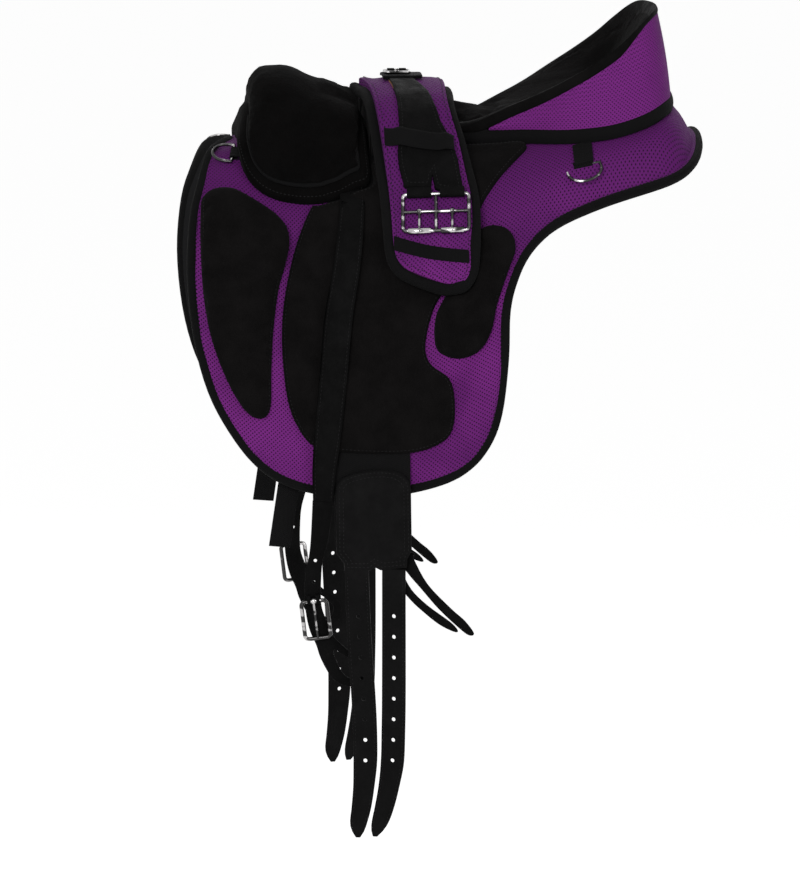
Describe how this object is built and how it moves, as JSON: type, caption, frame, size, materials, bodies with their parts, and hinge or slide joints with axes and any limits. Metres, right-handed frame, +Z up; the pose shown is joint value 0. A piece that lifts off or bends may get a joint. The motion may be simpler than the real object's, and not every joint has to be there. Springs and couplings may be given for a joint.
{
  "type": "treeless saddle",
  "caption": "Treeless riding saddle: padded mesh panel, foam seat with raised cantle, pommel roll, suede patches, girth straps and a strapped stirrup pad with roller buckles.",
  "frame": {"origin": "on the underside of the panel at its lowest point along the spine, where the horse's back carries it", "axes": "+Z up, +X along the spine towards the cantle, +Y to the off side"},
  "size_m": [0.56, 0.4798, 0.8704],
  "materials": {
    "purple_air_mesh": "open air mesh with a fine diamond grid",
    "black_suede": "brushed suede",
    "black_tape": "woven binding tape",
    "black_leather": "smooth, lightly grained",
    "black_webbing": "flat woven webbing",
    "bright_steel": "bright plated",
    "grey_foam": "open-cell foam",
    "black_lining": "flat woven lining"
  },
  "bodies": {
    "saddle": {"billet_plate_near": "black_leather", "billet_plate_off": "black_leather", "cantle_gusset": "purple_air_mesh", "centre_patch_near": "black_suede", "centre_patch_off": "black_suede", "double_buckle_near": "bright_steel", "double_buckle_off": "bright_steel", "front_strap_near": "black_leather", "front_strap_off": "black_leather", "girth_web": "black_webbing", "knee_roll_near": "black_suede", "knee_roll_off": "black_suede", "lower_keeper_near": "black_tape", "lower_keeper_off": "black_tape", "panel_binding": "black_tape", "panel_cover": "purple_air_mesh", "panel_foam": "grey_foam", "panel_lining": "black_lining", "pommel_flange": "black_suede", "pommel_roll": "black_suede", "rear_ring_tab_near": "black_webbing", "rear_ring_tab_off": "black_webbing", "seat_band": "black_tape", "seat_cover": "black_suede", "seat_foam": "grey_foam", "stirrup_pad": "purple_air_mesh", "stirrup_pad_binding": "black_tape", "stirrup_strap": "black_leather", "thigh_block_near": "black_suede", "thigh_block_off": "black_suede", "top_buckle": "bright_steel", "upper_keeper_near": "black_tape", "upper_keeper_off": "black_tape"},
    "billet_front_near": {"billet_front_near": "black_leather"},
    "billet_rear_near": {"billet_rear_near": "black_leather"},
    "front_strap_tail_near": {"front_strap_tail_near": "black_leather", "strap_buckle_near": "bright_steel"},
    "strap_tongue_near": {"strap_tongue_near": "bright_steel"},
    "webbing_tab_near": {"webbing_tab_near": "black_webbing"},
    "tie_strap_near": {"tie_strap_near": "black_leather"},
    "front_d_ring_near": {"front_d_ring_near": "bright_steel"},
    "rear_d_ring_near": {"rear_d_ring_near": "bright_steel"},
    "tongue_front_near": {"tongue_front_near": "bright_steel"},
    "roller_front_near": {"roller_front_near": "bright_steel"},
    "tongue_rear_near": {"tongue_rear_near": "bright_steel"},
    "roller_rear_near": {"roller_rear_near": "bright_steel"},
    "billet_front_off": {"billet_front_off": "black_leather"},
    "billet_rear_off": {"billet_rear_off": "black_leather"},
    "front_strap_tail_off": {"front_strap_tail_off": "black_leather", "strap_buckle_off": "bright_steel"},
    "strap_tongue_off": {"strap_tongue_off": "bright_steel"},
    "webbing_tab_off": {"webbing_tab_off": "black_webbing"},
    "tie_strap_off": {"tie_strap_off": "black_leather"},
    "front_d_ring_off": {"front_d_ring_off": "bright_steel"},
    "rear_d_ring_off": {"rear_d_ring_off": "bright_steel"},
    "tongue_front_off": {"tongue_front_off": "bright_steel"},
    "roller_front_off": {"roller_front_off": "bright_steel"},
    "tongue_rear_off": {"tongue_rear_off": "bright_steel"},
    "roller_rear_off": {"roller_rear_off": "bright_steel"},
    "top_tongue": {"top_tongue": "bright_steel"}
  },
  "joints": [
    {"name": "billet_front_near_hinge", "type": "hinge", "parent": "saddle", "child": "billet_front_near", "pos_m": [-0.10494, -0.20042, -0.40359], "axis": [-0.9789, 0.2043, 0], "range_deg": [0, 80]},
    {"name": "billet_rear_near_hinge", "type": "hinge", "parent": "saddle", "child": "billet_rear_near", "pos_m": [-0.06649, -0.2108, -0.40228], "axis": [-0.9378, 0.3472, 0], "range_deg": [0, 60]},
    {"name": "front_strap_tail_near_hinge", "type": "hinge", "parent": "saddle", "child": "front_strap_tail_near", "pos_m": [-0.139, -0.1806, -0.33275], "axis": [0.9948, -0.102, 0], "range_deg": [0, 35]},
    {"name": "strap_tongue_near_hinge", "type": "hinge", "parent": "front_strap_tail_near", "child": "strap_tongue_near", "pos_m": [-0.14979, -0.18351, -0.4389], "axis": [-0.9874, 0.1013, -0.1219], "range_deg": [0, 110]},
    {"name": "webbing_tab_near_hinge", "type": "hinge", "parent": "saddle", "child": "webbing_tab_near", "pos_m": [-0.173, -0.15693, -0.30943], "axis": [0.9992, -0.0391, 0], "range_deg": [0, 60]},
    {"name": "tie_strap_near_hinge", "type": "hinge", "parent": "saddle", "child": "tie_strap_near", "pos_m": [-0.087, -0.1979, -0.38381], "axis": [0.9641, -0.2655, 0], "range_deg": [0, 60]},
    {"name": "front_d_ring_near_hinge", "type": "hinge", "parent": "saddle", "child": "front_d_ring_near", "pos_m": [-0.22753, -0.06561, 0.02662], "axis": [0.1679, 0.8398, 0.5162], "range_deg": [0, 80]},
    {"name": "rear_d_ring_near_hinge", "type": "hinge", "parent": "saddle", "child": "rear_d_ring_near", "pos_m": [0.1414, -0.13095, 0.01641], "axis": [-0.9658, -0.0182, -0.2587], "range_deg": [0, 100]},
    {"name": "tongue_front_near_hinge", "type": "hinge", "parent": "saddle", "child": "tongue_front_near", "pos_m": [-0.03495, -0.15358, -0.02809], "axis": [-0.9882, 0.1478, -0.0395], "range_deg": [0, 110]},
    {"name": "roller_front_near_turn", "type": "hinge", "parent": "saddle", "child": "roller_front_near", "pos_m": [-0.03538, -0.16159, -0.0475], "axis": [-0.9882, 0.1478, -0.0395], "continuous": true},
    {"name": "tongue_rear_near_hinge", "type": "hinge", "parent": "saddle", "child": "tongue_rear_near", "pos_m": [-0.00037, -0.15876, -0.02671], "axis": [-0.9882, 0.1478, -0.0395], "range_deg": [0, 110]},
    {"name": "roller_rear_near_turn", "type": "hinge", "parent": "saddle", "child": "roller_rear_near", "pos_m": [-0.00079, -0.16676, -0.04612], "axis": [-0.9882, 0.1478, -0.0395], "continuous": true},
    {"name": "billet_front_off_hinge", "type": "hinge", "parent": "saddle", "child": "billet_front_off", "pos_m": [-0.10494, 0.20042, -0.40359], "axis": [0.9789, 0.2043, 0], "range_deg": [0, 80]},
    {"name": "billet_rear_off_hinge", "type": "hinge", "parent": "saddle", "child": "billet_rear_off", "pos_m": [-0.06649, 0.2108, -0.40228], "axis": [0.9378, 0.3472, 0], "range_deg": [0, 60]},
    {"name": "front_strap_tail_off_hinge", "type": "hinge", "parent": "saddle", "child": "front_strap_tail_off", "pos_m": [-0.139, 0.1806, -0.33275], "axis": [-0.9948, -0.102, 0], "range_deg": [0, 35]},
    {"name": "strap_tongue_off_hinge", "type": "hinge", "parent": "front_strap_tail_off", "child": "strap_tongue_off", "pos_m": [-0.14979, 0.18351, -0.4389], "axis": [0.9874, 0.1013, 0.1219], "range_deg": [0, 110]},
    {"name": "webbing_tab_off_hinge", "type": "hinge", "parent": "saddle", "child": "webbing_tab_off", "pos_m": [-0.173, 0.15693, -0.30943], "axis": [-0.9992, -0.0391, 0], "range_deg": [0, 60]},
    {"name": "tie_strap_off_hinge", "type": "hinge", "parent": "saddle", "child": "tie_strap_off", "pos_m": [-0.087, 0.1979, -0.38381], "axis": [-0.9641, -0.2655, 0], "range_deg": [0, 60]},
    {"name": "front_d_ring_off_hinge", "type": "hinge", "parent": "saddle", "child": "front_d_ring_off", "pos_m": [-0.22753, 0.06561, 0.02662], "axis": [-0.1679, 0.8398, -0.5162], "range_deg": [0, 80]},
    {"name": "rear_d_ring_off_hinge", "type": "hinge", "parent": "saddle", "child": "rear_d_ring_off", "pos_m": [0.1414, 0.13095, 0.01641], "axis": [0.9658, -0.0182, 0.2587], "range_deg": [0, 100]},
    {"name": "tongue_front_off_hinge", "type": "hinge", "parent": "saddle", "child": "tongue_front_off", "pos_m": [-0.03495, 0.15358, -0.02809], "axis": [0.9882, 0.1478, 0.0395], "range_deg": [0, 110]},
    {"name": "roller_front_off_turn", "type": "hinge", "parent": "saddle", "child": "roller_front_off", "pos_m": [-0.03538, 0.16159, -0.0475], "axis": [0.9882, 0.1478, 0.0395], "continuous": true},
    {"name": "tongue_rear_off_hinge", "type": "hinge", "parent": "saddle", "child": "tongue_rear_off", "pos_m": [-0.00037, 0.15876, -0.02671], "axis": [0.9882, 0.1478, 0.0395], "range_deg": [0, 110]},
    {"name": "roller_rear_off_turn", "type": "hinge", "parent": "saddle", "child": "roller_rear_off", "pos_m": [-0.00079, 0.16676, -0.04612], "axis": [0.9882, 0.1478, 0.0395], "continuous": true},
    {"name": "top_tongue_hinge", "type": "hinge", "parent": "saddle", "child": "top_tongue", "pos_m": [-0.047, 0, 0.10748], "axis": [-1, 0, 0], "range_deg": [0, 110]}
  ]
}
